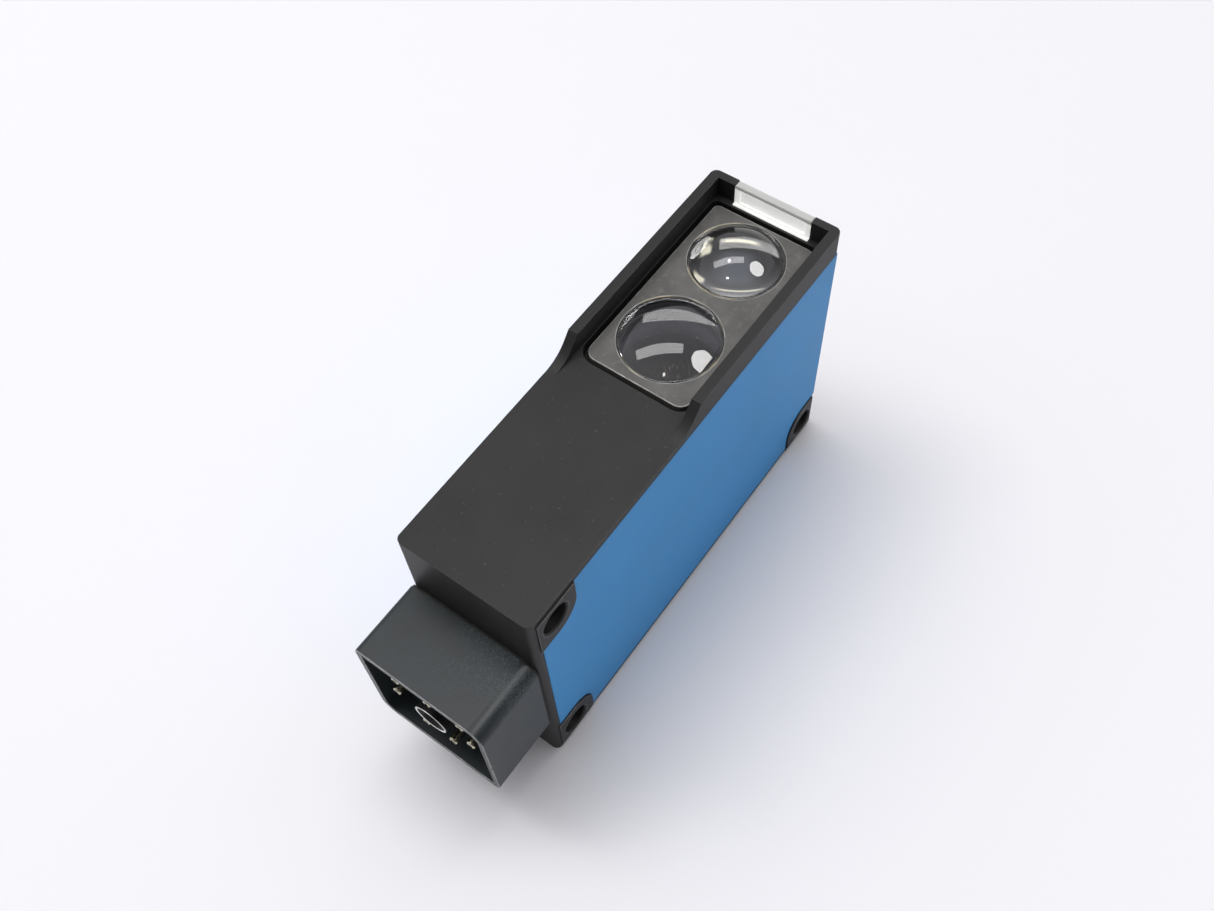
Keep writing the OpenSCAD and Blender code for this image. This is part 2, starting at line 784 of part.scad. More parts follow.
// Slotted head, sealed collar with a ring groove, then a shaft along -X
module adjuster(z, shaft_r, shaft_x0, slot_angle) {
    end_x = body_l - head_sink;
    collar_x1 = body_l - wall - slack;
    collar_x0 = body_l - oring_x - collar_foot;
    color("#c9a24a") place() difference() {
        union() {
            rod_x(collar_x1 - lap, end_x - collar_x1 + lap, head_d / 2, 0, z);
            rod_x(collar_x0, collar_x1 - collar_x0, collar_d / 2, 0, z);
            rod_x(shaft_x0, collar_x0 - shaft_x0 + lap, shaft_r, 0, z);
        }
        // groove of the sealing ring
        translate([body_l - oring_x - oring_r - groove_play, 0, z]) rotate([0, 90, 0]) difference() {
            cylinder(h = 2 * (oring_r + groove_play), r = collar_d / 2 + over);
            translate([0, 0, -over])
                cylinder(h = 2 * (oring_r + groove_play + over), r = collar_d / 2 - 2 * oring_r);
        }
        // screwdriver slot
        translate([end_x, 0, z]) rotate([slot_angle, 0, 0])
            box([-slot_depth, -head_d, -slot_w / 2], [over, head_d, slot_w / 2]);
    }
}
module range_spindle() { adjuster(spindle_z, spindle_d / 2, receiver_x0 + rod_end + slack, 0); }
module mode_switch() {
    adjuster(switch_z, switch_shaft_r, body_l - adjuster_depth - switch_body_l + slack + rod_end, 45);
}

module adjuster_oring(z) {
    color("#111111") place() translate([body_l - oring_x, 0, z]) rotate([0, 90, 0])
        rotate_extrude() translate([collar_d / 2 - oring_r + oring_squeeze, 0]) circle(oring_r);
}
module spindle_oring() { adjuster_oring(spindle_z); }
module mode_oring() { adjuster_oring(switch_z); }

module spindle_retainer() {
    color("silver") place() difference() {
        rod_x(body_l - adjuster_depth, retainer_t, collar_d / 2 + running, 0, spindle_z);
        rod_x(body_l - adjuster_depth - over, retainer_t + 2 * over, spindle_d / 2 + 2 * running,
              0, spindle_z);
    }
}

module mode_switch_body() {
    half = (adjuster_pitch - carrier_wall) / 2;
    x1 = body_l - adjuster_depth;
    color("#e6e2d8") place() difference() {
        box([x1 - switch_body_l, -half, switch_z - half], [x1, half, switch_z + half]);
        rod_x(x1 - switch_body_l - over, switch_body_l + 2 * over, switch_shaft_r + running,
              0, switch_z);
    }
}

// ---------- output ----------

housing();
side_cover_left();
side_cover_right();
lens_plate();
lens_plate_seal();
emitter_lens();
receiver_lens();
indicator_window();
plug_shroud();
plug_seal();
pin_insert();
screw_bush();
plug_board();
main_board();
control_chips();
capacitors();
analog_board();
board_screws();
optics_carrier();
emitter_holder();
emitter_led();
detector_carriage();
receiver_diode();
guide_rods();
range_spindle();
spindle_oring();
spindle_retainer();
mode_switch();
mode_oring();
mode_switch_body();
indicator_led_green();
indicator_led_yellow();
for (i = [0:6]) contact_pin(i);
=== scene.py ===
# %% [markdown]
# # A compact photoelectric sensor
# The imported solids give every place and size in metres. This script gives them
# their looks: rounded edges, moulded plastic, glass and metal.

# %% Load the frame
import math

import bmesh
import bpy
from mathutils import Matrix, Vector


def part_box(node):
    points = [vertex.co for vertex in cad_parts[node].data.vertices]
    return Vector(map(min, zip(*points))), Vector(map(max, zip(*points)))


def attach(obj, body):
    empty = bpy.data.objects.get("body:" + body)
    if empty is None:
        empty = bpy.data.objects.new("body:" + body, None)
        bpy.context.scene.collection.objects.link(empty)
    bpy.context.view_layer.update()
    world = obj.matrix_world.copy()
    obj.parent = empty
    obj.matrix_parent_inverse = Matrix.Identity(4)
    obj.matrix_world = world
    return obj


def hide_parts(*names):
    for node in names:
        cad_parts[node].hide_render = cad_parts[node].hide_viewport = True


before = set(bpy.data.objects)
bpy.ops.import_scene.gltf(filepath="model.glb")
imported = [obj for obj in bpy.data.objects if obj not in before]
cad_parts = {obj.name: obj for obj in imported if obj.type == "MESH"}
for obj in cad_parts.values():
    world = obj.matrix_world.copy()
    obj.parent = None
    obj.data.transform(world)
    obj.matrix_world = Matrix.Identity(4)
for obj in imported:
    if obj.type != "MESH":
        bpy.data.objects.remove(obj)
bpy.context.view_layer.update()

# %% [markdown]
# ## Sizes
# A few planes of the object are read from
# the solids, and every piece below is placed by them.

MM = 0.001

housing_low, housing_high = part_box("housing")
plate_low, plate_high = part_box("lens_plate")
window_low, window_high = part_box("indicator_window")

front_z = plate_high.z
rail_z = housing_high.z
side_y = -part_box("side_cover_right")[0].y
near_x = housing_low.x
far_x = housing_high.x
mouth_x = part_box("plug_shroud")[0].x
print(f"front face {front_z / MM:.1f} mm, rails {rail_z / MM:.1f} mm above the back feet")

# %% [markdown]
# ## The camera
# The sensor lies on its back and is seen from above, from the plug end. A camera
# turns round the point that it looks at: first round the upright axis, then up,
# and last about its own line of sight, which tips the horizon a little.

# %% Set up the camera
aim = Vector((5.753, 5.385, 25.5)) * MM
azimuth = math.radians(-49.585)
elevation = math.radians(58.556)
roll = math.radians(-5.012)
distance = 206.554 * MM

turn = Matrix.Rotation(azimuth, 3, "Z")
tip = Matrix.Rotation(math.pi / 2 - elevation, 3, "X")
level = turn @ tip @ Matrix.Rotation(roll, 3, "Z")
stand = aim + level @ Vector((0, 0, distance))
bpy.ops.object.camera_add(location=stand, rotation=level.to_euler())
camera = bpy.context.object
camera.name = "camera"
camera.data.sensor_width = 36
camera.data.lens = 36.53
camera.data.clip_start = 0.01
bpy.context.scene.camera = camera
print("camera at", [round(v / MM, 1) for v in camera.location], "mm")

# %% [markdown]
# ## The floor
# A wide pale sheet stands for the table. It isn't part of the object, so it is
# marked as stage. Its edge lies far outside the view from any side.

# %% Lay the floor
floor_size = 4.0
bpy.ops.object.select_all(action="DESELECT")
bpy.ops.mesh.primitive_plane_add(size=floor_size, location=(0, 0, 0))
floor = bpy.context.object
floor.name = "floor"
print(f"floor {floor_size} m wide")

# %% [markdown]
# ## The light
# The room is bright all round, so the world is a plain pale light that falls off
# towards the plug and the near side. Past the edge of the floor the camera sees an
# even backdrop, which lights nothing. Four soft lamps stand in the room. The long
# panel shows as a bar on each lens dome, and again, fainter, in the flat floor of
# the lens. The round one shows as a white spot, and only shines: it lights nothing
# else, because so large a lamp would wash the shadows out. The other two light the
# floor, one from straight above and one from behind, which throws the shadows to
# the near side, and both are hidden from reflections, so that black plastic stays
# black. Each lamp is placed by the direction it is seen in from the lenses.

# %% Light the room
bright_way = (0.6, 0.8, 0)
dim_from, bright_from = -0.5, 0.35
dim_strength, bright_strength = 0.2, 0.8

world = bpy.data.worlds.new("room")
world.use_nodes = True
nodes = world.node_tree.nodes
join = world.node_tree.links.new
sky = nodes["Background"]
sky.inputs["Color"].default_value = (0.96, 0.955, 1.0, 1)
look = nodes.new("ShaderNodeTexCoord")
ways = nodes.new("ShaderNodeVectorMath")
ways.operation = "DOT_PRODUCT"
ways.inputs[1].default_value = bright_way
dimmer = nodes.new("ShaderNodeMapRange")
dimmer.inputs["From Min"].default_value = dim_from
dimmer.inputs["From Max"].default_value = bright_from
dimmer.inputs["To Min"].default_value = dim_strength
dimmer.inputs["To Max"].default_value = bright_strength
join(look.outputs["Generated"], ways.inputs[0])
join(ways.outputs["Value"], dimmer.inputs["Value"])
join(dimmer.outputs[0], sky.inputs["Strength"])

backdrop = nodes.new("ShaderNodeBackground")
backdrop.inputs["Color"].default_value = (0.86, 0.86, 0.88, 1)
seen = nodes.new("ShaderNodeLightPath")
choice = nodes.new("ShaderNodeMixShader")
join(seen.outputs["Is Camera Ray"], choice.inputs[0])
join(sky.outputs[0], choice.inputs[1])
join(backdrop.outputs[0], choice.inputs[2])
join(choice.outputs[0], nodes["World Output"].inputs["Surface"])
bpy.context.scene.world = world
bpy.context.scene.view_settings.view_transform = "Standard"
print(f"room light from {dim_strength} to {bright_strength}")

# %% [markdown]
# The lamps are round or long areas that face the lenses. Their sizes are in metres
# and their powers in watts. All stand at the same distance, so a lamp's direction
# and size alone decide where and how large its reflection is.

# %% Hang the lamps
lamp_distance = 1.2
warm_white = (1, 0.99, 0.98)
lens_middle = (Vector(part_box("emitter_lens")[1]) + Vector(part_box("receiver_lens")[0])) / 2


def add_lamp(name, direction, size, power, colour, long_side=None):
    """A soft lamp that faces the lenses: a disc, or a panel if its long side is given."""
    back = Vector(direction).normalized()
    long_way = Vector(long_side if long_side else (1, 0, 0))
    across = (long_way - back * long_way.dot(back)).normalized()
    facing = Matrix((across, back.cross(across), back)).transposed()
    place = lens_middle + back * lamp_distance
    bpy.ops.object.light_add(type="AREA", location=place, rotation=facing.to_euler())
    lamp = bpy.context.object
    lamp.name = name
    lamp.data.shape = "RECTANGLE" if long_side else "DISK"
    lamp.data.size = size[0]
    lamp.data.size_y = size[1]
    lamp.data.energy = power
    lamp.data.color = colour
    return lamp


add_lamp("panel_overhead", (0.03, 0.25, 0.86), (1.2, 0.29), 7.5, (1, 0.98, 0.97),
         long_side=(0.55, -0.69, 0.18))
round_lamp = add_lamp("round_lamp", (0.35, -0.51, 0.785), (0.58, 0.58), 13.0, warm_white)
round_lamp.visible_diffuse = False
ceiling_lamp = add_lamp("ceiling_lamp", (0.05, 0.1, 1), (2.0, 2.0), 4.0, warm_white)
shadow_lamp = add_lamp("shadow_lamp", (-0.15, 0.55, 0.75), (0.8, 0.8), 1.5, warm_white)
for lamp in (ceiling_lamp, shadow_lamp):
    lamp.visible_glossy = False
    lamp.visible_transmission = False
print("four lamps,", lamp_distance, "m from the lenses")

# %% [markdown]
# ## Shader sums
# A finish is a small sum of noises and masks. A wrapper round a socket lets such a
# sum be written as ordinary arithmetic, and each operator adds its own Math node.

# %% Wrap sockets so that they add up
class Wire:
    """The output of a node, which can be used in sums and comparisons."""

    def __init__(self, finish, socket):
        self.finish = finish
        self.socket = socket

    def sum(self, operation, first, second, clamp=False):
        settings = {"operation": operation, "use_clamp": clamp}
        return self.finish.add("ShaderNodeMath", settings, {0: first, 1: second})

    def __add__(self, other):
        return self.sum("ADD", self, other)

    def __sub__(self, other):
        return self.sum("SUBTRACT", self, other)

    def __rsub__(self, other):
        return self.sum("SUBTRACT", other, self)

    def __mul__(self, other):
        return self.sum("MULTIPLY", self, other)

    def above(self, edge, softness):
        """0 well below the edge and 1 well above it."""
        return self.sum("DIVIDE", self - (edge - softness / 2), softness, clamp=True)

    def below(self, edge, softness):
        """1 well below the edge and 0 well above it."""
        return 1 - self.above(edge, softness)


# %% [markdown]
# A finish holds one material and its shader. One method makes any node: it takes
# the node's type, its settings and what goes into its sockets. What is the same
# all over the surface is set straight on the shader.

# %% Build a material
class Finish:
    """A procedural material in the making."""

    def __init__(self, name, **constants):
        self.material = bpy.data.materials.new(name)
        self.material.use_nodes = True
        self.tree = self.material.node_tree
        self.shader = self.tree.nodes["Principled BSDF"]
        for socket, value in constants.items():
            self.shader.inputs[socket.replace("_", " ")].default_value = value
        self.place = self.add("ShaderNodeTexCoord", {}, {}, "Object")

    def add(self, kind, settings, inputs, output=0):
        node = self.tree.nodes.new(kind)
        for setting, value in settings.items():
            setattr(node, setting, value)
        for socket, value in inputs.items():
            self.feed(node.inputs[socket], value)
        return Wire(self, node.outputs[output])

    def feed(self, socket, value):
        if isinstance(value, Wire):
            self.tree.links.new(value.socket, socket)
        else:
            socket.default_value = value

    def noise(self, size, detail=3.0, stretch=(1, 1, 1), offset=(0, 0, 0)):
        """Noise from 0 to 1 whose blotches are about size metres wide."""
        scale = [factor / size for factor in stretch]
        moved = self.add("ShaderNodeMapping", {},
                         {"Vector": self.place, "Location": offset, "Scale": scale})
        return self.add("ShaderNodeTexNoise", {}, {"Vector": moved, "Scale": 1.0, "Detail": detail})

    def along(self, axis):
        """The place along X, Y or Z, in metres."""
        return self.add("ShaderNodeSeparateXYZ", {}, {0: self.place}, axis)

    def mix(self, mask, low, high):
        """One colour where the mask is 0 and another where it is 1."""
        return self.add("ShaderNodeMix", {"data_type": "RGBA"}, {0: mask, 6: low, 7: high}, 2)

    def bump(self, height, depth):
        """Ups and downs this many metres deep, where the height runs from 0 to 1."""
        return self.add("ShaderNodeBump", {}, {"Height": height, "Distance": depth})

    def surface(self, **sockets):
        for socket, value in sockets.items():
            self.feed(self.shader.inputs[socket.replace("_", " ")], value)
        return self.material


def shade(colour, factor):
    """The colour made lighter or darker, with its alpha kept at 1."""
    return tuple(channel * factor for channel in colour[:3]) + (1,)


# %% [markdown]
# ## Moulded black plastic
# The housing, the plug and the inner mouldings are one family: near-black plastic
# from a finely eroded mould. Two noises of different size make the grain, and a
# wide one makes the faint patches that handling leaves. The grain is much finer
# than the parts, so it is bump, and every visible shape is left to the mesh.

# %% Make the black mouldings
def black_moulding(name, colour, roughness, grain=0.00012, depth=0.00001, patch=0.25):
    finish = Finish(name, IOR=1.47, Specular_IOR_Level=0.26)
    fine = finish.noise(grain, detail=2)
    coarse = finish.noise(grain * 4, detail=3)
    patches = finish.noise(0.014, detail=4, offset=(3, 7, 1))
    tone = finish.mix(patches.above(0.5, 0.5), shade(colour, 1 - patch), shade(colour, 1 + patch))
    speck = finish.noise(0.0006, detail=1, offset=(9, 2, 5)).above(0.74, 0.05)
    return finish.surface(
        Base_Color=finish.mix(speck * 0.35, tone, shade(colour, 3.5)),
        Roughness=patches * 0.12 + fine * 0.08 + (roughness - 0.1),
        Normal=finish.bump(fine * 0.6 + coarse * 0.4, depth),
    )


# %% [markdown]
# An edge that is touched and rubbed turns a little lighter and shinier than the
# moulded face next to it; the lighter colour is also a painted highlight along the
# edge. It is a finish of its own, laid on the faces that a bevel makes.

# %% Make the rubbed edges
def rubbed_edge_and_highlight(name, colour, roughness):
    finish = Finish(name, IOR=1.47, Specular_IOR_Level=0.6)
    wear = finish.noise(0.0016, detail=5, offset=(4, 4, 2))
    # Lighter colour on the bevel faces: partly wear, partly a painted highlight.
    return finish.surface(
        Base_Color=finish.mix(wear.above(0.55, 0.25), shade(colour, 1.3), shade(colour, 2.6)),
        Roughness=wear * 0.2 + (roughness - 0.1),
        Normal=finish.bump(finish.noise(0.0003, detail=2), 0.000006),
    )


black = (0.019, 0.0182, 0.018)
housing_black = black_moulding("housing black", black, 0.5)
# The housing's bevels take the lighter edge finish: wear and a painted highlight.
housing_edge = rubbed_edge_and_highlight("housing edge", black, 0.4)
insert_black = black_moulding("insert black", (0.008, 0.008, 0.009), 0.45)
chip_black = black_moulding("chip black", (0.018, 0.018, 0.018), 0.4, depth=0.000004)
carriage_grey = black_moulding("carriage grey", (0.05, 0.05, 0.058), 0.45)
diode_dark = black_moulding("diode dark", (0.05, 0.022, 0.03), 0.15, depth=0.000001)

# %% [markdown]
# ## The light channels
# Under each lens a channel runs down into the black carrier, and the lens throws
# bright curved patches of light on its wall. Light bent by clear plastic is slow to
# trace, so that light is painted on the wall as a glow of its own: cream bands and a
# bright point under the emitter, a grey glow between them, and under the receiver
# fine dust and specks painted glowing, with a painted glint. The masks follow the
# place along Y and the depth below the front face.

# %% Make the carrier
def lit_carrier():
    finish = Finish("carrier black", IOR=1.47, Specular_IOR_Level=0.25, Emission_Strength=1.0)
    grain = finish.noise(0.0008, detail=2)
    across = finish.along(1)
    depth = front_z - finish.along(2)
    under_emitter = finish.along(0).above(emitter_low.x, 1 * MM)
    broken = finish.noise(0.0011, detail=2, offset=(4, 1, 7)).above(0.5, 0.12)

    def band(value, middle, half_width, softness):
        """1 within half_width of the middle and 0 outside it; all three are in millimetres."""
        soft = softness * MM
        start = value.above((middle - half_width) * MM, soft)
        return start * value.below((middle + half_width) * MM, soft)

    # Painted light under the emitter: cream bands of light, a grey glow between them and one bright
    # painted glint (spark).
    low_band = band(depth, 6.95, 0.12, 0.12) * band(across, 2.8, 1.2, 0.6)
    side_band = band(across, 4.8, 0.22, 0.12) * band(depth, 6.9, 0.6, 0.12) * broken
    haze = band(across, 3.0, 1.1, 1.0) * band(depth, 7.95, 0.3, 0.35)
    spark = band(across, 3.5, 0.06, 0.03) * band(depth, 7.9, 0.03, 0.02)
    glow = finish.mix(haze, (0.003, 0.003, 0.003, 1), (0.075, 0.082, 0.10, 1))
    glow = finish.mix(low_band + side_band, glow, (0.80, 0.76, 0.60, 1))
    glow = finish.mix(spark, glow, (2.0, 2.0, 2.0, 1))

    # Painted light under the receiver: dust and specks made to glow, a faint painted glow and a
    # painted glint.
    dust_and_painted_glow = finish.noise(0.00013, detail=4, offset=(1, 6, 2)).above(0.6, 0.08)
    dust_and_painted_glow = dust_and_painted_glow * band(depth, 12.25, 0.3, 0.3)
    painted_glow_specks = finish.noise(0.00025, detail=3, offset=(3, 3, 9)).above(0.62, 0.06)
    painted_glow_specks = painted_glow_specks * band(depth, 9.7, 0.1, 0.1)
    painted_glow_below = band(depth, 8.6, 1.0, 1.0)
    under = finish.mix(painted_glow_below, (0.002, 0.002, 0.003, 1), (0.022, 0.022, 0.030, 1))
    under = finish.mix(dust_and_painted_glow * 0.7, under, (0.12, 0.10, 0.07, 1))
    under = finish.mix(painted_glow_specks, under, (0.14, 0.13, 0.12, 1))
    glint = band(across, 4.15, 0.07, 0.04) * band(depth, 12.4, 0.04, 0.03)
    under = finish.mix(glint, under, (1.0, 0.97, 0.9, 1))
    return finish.surface(
        Base_Color=finish.mix(grain, (0.010, 0.010, 0.011, 1), (0.014, 0.014, 0.015, 1)),
        Roughness=grain * 0.1 + 0.5,
        Emission_Color=finish.mix(under_emitter, under, glow),
        Normal=finish.bump(grain, 0.000004),
    )


emitter_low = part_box("emitter_lens")[0]
carrier_black = lit_carrier()

# %% [markdown]
# ## The plug's plastic
# The shroud is a glossier, faintly blue-grey moulding. Where it meets the housing
# it has been scuffed: a fine speckle of light marks, thickest at the root and on
# the side towards the near cover, so one mask follows the place along X and Y.

# %% Make the shroud finish
def scuffed_shroud():
    colour = (0.021, 0.027, 0.030)
    finish = Finish("shroud black", IOR=1.5, Specular_IOR_Level=0.25)
    cloud = finish.noise(0.006, detail=5)
    root = finish.along(0).above(near_x - 8 * MM, 9 * MM)
    side = finish.along(1).below(1 * MM, 14 * MM)
    marks = finish.noise(0.0003, detail=6, stretch=(1, 1.8, 1)).above(0.56, 0.12)
    scuffs = marks * root * side * cloud.above(0.42, 0.2)
    tone = finish.mix(cloud.above(0.5, 0.4), shade(colour, 0.85), shade(colour, 1.25))
    return finish.surface(
        Base_Color=finish.mix(scuffs * 0.8, tone, shade(colour, 4)),
        Roughness=cloud * 0.16 + scuffs * 0.2 + 0.3,
        Normal=finish.bump(finish.noise(0.0002, detail=3) + scuffs * 0.8, 0.000006),
    )


shroud_black = scuffed_shroud()
# The rim's light grey on the broken mouth edges: a painted highlight, partly wear.
shroud_rim = rubbed_edge_and_highlight("shroud rim", (0.12, 0.12, 0.125), 0.3)

# %% [markdown]
# ## The blue cover
# A matt moulding in mid blue. Its grain is a little coarser than the housing's,
# and its colour hardly varies.

# %% Make the cover finish
def matt_plastic(name, colour, roughness):
    finish = Finish(name, IOR=1.46, Specular_IOR_Level=0.22)
    cloud = finish.noise(0.02, detail=3)
    grain = finish.noise(0.00018, detail=2)
    return finish.surface(
        Base_Color=finish.mix(cloud.above(0.5, 0.6), shade(colour, 0.95), shade(colour, 1.06)),
        Roughness=cloud * 0.08 + grain * 0.06 + (roughness - 0.07),
        Normal=finish.bump(grain, 0.000008),
    )


blue = (0.048, 0.31, 0.68)
cover_blue = matt_plastic("cover blue", blue, 0.5)
# A darker blue for the covers' rounded rims: painted shade, a fine shadow line.
cover_blue_shaded_edge = matt_plastic("cover blue edge", shade(blue, 0.8), 0.4)

# %% [markdown]
# ## The lens plate
# The plate is a smooth dark grey casting, a little mottled, with a soft shine. Dust
# settles in patches all over it.

# %% Make the plate finish
def cast_grey():
    colour = (0.086, 0.085, 0.08)
    finish = Finish("plate grey", IOR=1.5, Specular_IOR_Level=0.5)
    mottle = finish.noise(0.005, detail=6, offset=(2, 5, 8))
    dust_and_painted_glow = finish.noise(0.0012, detail=5, offset=(1, 1, 6)).above(0.62, 0.12)
    tone = finish.mix(mottle.above(0.5, 0.35), shade(colour, 0.8), shade(colour, 1.2))
    return finish.surface(
        Base_Color=finish.mix(dust_and_painted_glow * 0.3, tone, (0.2, 0.195, 0.18, 1)),
        Roughness=mottle * 0.2 + dust_and_painted_glow * 0.15 + 0.3,
        Normal=finish.bump(mottle * 0.5 + finish.noise(0.0004, detail=3) * 0.5, 0.000012),
    )


plate_grey = cast_grey()
# Lighter rounded edges of the plate: a painted highlight, partly wear.
plate_edge = rubbed_edge_and_highlight("plate edge", (0.17, 0.168, 0.155), 0.3)

# %% [markdown]
# ## Rubber
# Gaskets and rings are soft black rubber with a dry, dusty bloom on it.

# %% Make the rubber
def rubber(name, colour):
    finish = Finish(name, IOR=1.5, Specular_IOR_Level=0.3)
    bloom = finish.noise(0.0015, detail=5)
    return finish.surface(
        Base_Color=finish.mix(bloom.above(0.55, 0.3), colour, shade(colour, 2.2)),
        Roughness=bloom * 0.15 + 0.6,
        Normal=finish.bump(finish.noise(0.0002, detail=3), 0.00001),
    )


seal_black = rubber("seal black", (0.012, 0.011, 0.010, 1))
oring_black = rubber("oring black", (0.010, 0.010, 0.010, 1))

# %% [markdown]
# ## Lens plastic
# The lenses are clear moulded plastic. The shader lets light through, and only a
# trace of handling shows in the roughness.

# %% Make the clear plastics
def clear_plastic(name, colour, roughness, smear):
    finish = Finish(name, IOR=1.49, Transmission_Weight=1.0, Specular_IOR_Level=0.5)
    touch = finish.noise(0.006, detail=4)
    return finish.surface(
        Base_Color=finish.mix(touch, colour, shade(colour, 0.97)),
        Roughness=touch.above(0.5, 0.5) * smear + roughness,
    )


lens_clear = clear_plastic("lens clear", (0.96, 0.97, 0.97, 1), 0.0, 0.01)
led_clear = clear_plastic("led clear", (0.9, 0.92, 0.94, 1), 0.05, 0.05)

# %% [markdown]
# ## Glue
# Each lens is bonded into the plate, and a fine amber bead of glue stands in the
# joint and catches the light.

# %% Make the glue
def amber_glue():
    colour = (0.42, 0.36, 0.22)
    finish = Finish("amber glue", IOR=1.5, Specular_IOR_Level=0.7)
    flow = finish.noise(0.003, detail=3)
    runs = finish.noise(0.009, detail=2, offset=(2, 3, 1)).above(0.54, 0.1)
    filled = runs * flow.above(0.35, 0.3)
    return finish.surface(
        Base_Color=finish.mix(filled, (0.02, 0.019, 0.016, 1), shade(colour, 1)),
        Roughness=flow * 0.2 + 0.12,
        Normal=finish.bump(flow, 0.00003),
    )


glue = amber_glue()

# %% [markdown]
# ## The indicator window
# Milky plastic that scatters the light of the lamps behind it and of the room, so
# a weak painted glow is added to its inner face. Painted shade makes it greyer along
# its top edge, where it is thin and the light leaves it, and painted light makes it
# whiter in the panel, so both colours follow the place.

# %% Make the window plastic
def milky_plastic():
    finish = Finish("window white", IOR=1.49, Specular_IOR_Level=0.5, Subsurface_Weight=0.5,
                    Subsurface_Radius=(1, 1, 1), Subsurface_Scale=0.002, Emission_Strength=0.7)
    cloud = finish.noise(0.004, detail=4)
    # Painted shade: a grey band along the top edge.
    shaded_top_band = finish.along(2).above(rail_z - 0.7 * MM, 0.3 * MM)
    across, up = finish.along(1), finish.along(2)
    panel = across.above(window_low.y + 1 * MM, 0.3 * MM)
    panel = panel * across.below(window_high.y - 1 * MM, 0.3 * MM)
    inner = finish.along(0).below(window_low.x + 0.9 * MM, 0.4 * MM)
    panel = panel * inner * up.above(front_z + 0.4 * MM, 0.3 * MM)
    # Whiter base: random cloud, and painted light on the inner panel.
    white = cloud.above(0.5, 0.5) * 0.3 + panel * 0.7
    milk = finish.mix(white, (0.62, 0.62, 0.60, 1), (0.94, 0.94, 0.92, 1))
    return finish.surface(
        Base_Color=finish.mix(shaded_top_band, milk, (0.42, 0.43, 0.41, 1)),
        # Painted glow on the inner face, none on the top band.
        Emission_Color=finish.mix(inner * (1 - shaded_top_band), (0.10, 0.10, 0.095, 1), milk),
        Roughness=cloud * 0.15 + 0.22,
        Normal=finish.bump(finish.noise(0.0006, detail=3), 0.000008),
    )


window_white = milky_plastic()

# %% [markdown]
# ## Metals
# Pins, bush, rods and screws are turned or drawn, so their marks run one way: the
# noise is stretched along the piece. A patch mask dulls the places that were
# touched.

# %% Make the metals
def drawn_metal(name, colour, roughness, axis, tarnish=0.25):
    finish = Finish(name, Metallic=1.0)
    stretch = [1, 1, 1]
    stretch[axis] = 0.08
    lines = finish.noise(0.0002, detail=3, stretch=stretch)
    dull = finish.noise(0.002, detail=4, offset=(5, 1, 3)).above(0.5, 0.4)
    return finish.surface(
        Base_Color=finish.mix(dull, shade(colour, 1), shade(colour, 1 - tarnish)),
        Roughness=lines * 0.15 + dull * 0.12 + (roughness - 0.1),
        Normal=finish.bump(lines, 0.000006),
    )


contact_metal = drawn_metal("contact metal", (0.55, 0.52, 0.40), 0.16, 0)
bush_metal = drawn_metal("bush metal", (0.78, 0.78, 0.76), 0.3, 0)
bush_black = drawn_metal("bush black", (0.05, 0.05, 0.05), 0.45, 0)
# Near-black metal for the pin's hollow tip: painted shade in the hollow.
pin_hollow_shade = drawn_metal("pin hollow", (0.03, 0.022, 0.016), 0.6, 0)
screw_steel = drawn_metal("screw steel", (0.62, 0.63, 0.64), 0.35, 1)
rod_steel = drawn_metal("rod steel", (0.66, 0.67, 0.68), 0.2, 0)
spindle_brass = drawn_metal("spindle brass", (0.72, 0.55, 0.26), 0.3, 0)
can_metal = drawn_metal("capacitor can", (0.60, 0.62, 0.64), 0.35, 1)

# %% [markdown]
# ## Circuit boards and small parts
# The boards are green with a faint pattern of copper under the lacquer. A brick
# texture gives the straight runs of track. The holder, the switch body and the
# lamps are plain mouldings in their own colours.

# %% Make the board and the small mouldings
def lacquered_board():
    finish = Finish("board green", IOR=1.5, Specular_IOR_Level=0.5)
    turned = finish.add("ShaderNodeMapping", {},
                        {"Vector": finish.place, "Rotation": (math.pi / 2, 0, 0)})
    tracks = finish.add("ShaderNodeTexBrick", {"offset": 0.37}, {
        "Vector": turned, "Color1": (1, 1, 1, 1), "Color2": (0.6, 0.6, 0.6, 1),
        "Mortar": (0, 0, 0, 1), "Scale": 1.0, "Mortar Size": 0.0003,
        "Brick Width": 0.006, "Row Height": 0.0012}, 1)
    cloud = finish.noise(0.004, detail=4)
    green = finish.mix(cloud.above(0.5, 0.5), (0.012, 0.09, 0.035, 1), (0.018, 0.12, 0.05, 1))
    return finish.surface(
        Base_Color=finish.mix(tracks * 0.5, (0.04, 0.19, 0.08, 1), green),
        Roughness=cloud * 0.15 + 0.25,
        Normal=finish.bump(tracks, 0.00002),
    )


def tinted_lamp(name, colour):
    finish = Finish(name, IOR=1.5, Transmission_Weight=0.35, Specular_IOR_Level=0.5)
    haze = finish.noise(0.001, detail=3)
    return finish.surface(
        Base_Color=finish.mix(haze, shade(colour, 0.8), shade(colour, 1.1)),
        Roughness=haze * 0.2 + 0.15,
        Normal=finish.bump(haze, 0.000003),
    )


board_green = lacquered_board()
holder_white = matt_plastic("holder white", (0.62, 0.58, 0.48), 0.4)
switch_white = matt_plastic("switch white", (0.66, 0.62, 0.55), 0.4)
lamp_green = tinted_lamp("lamp green", (0.08, 0.45, 0.16))
lamp_yellow = tinted_lamp("lamp yellow", (0.75, 0.5, 0.05))

# %% [markdown]
# ## The floor's finish
# Smooth pale board, with only a trace of cloudiness.

# %% Make the floor finish
def pale_board():
    finish = Finish("pale board", Specular_IOR_Level=0.3)
    cloud = finish.noise(0.25, detail=2)
    return finish.surface(
        Base_Color=finish.mix(cloud, (0.80, 0.80, 0.825, 1), (0.83, 0.83, 0.85, 1)),
        Roughness=cloud * 0.1 + 0.5,
    )


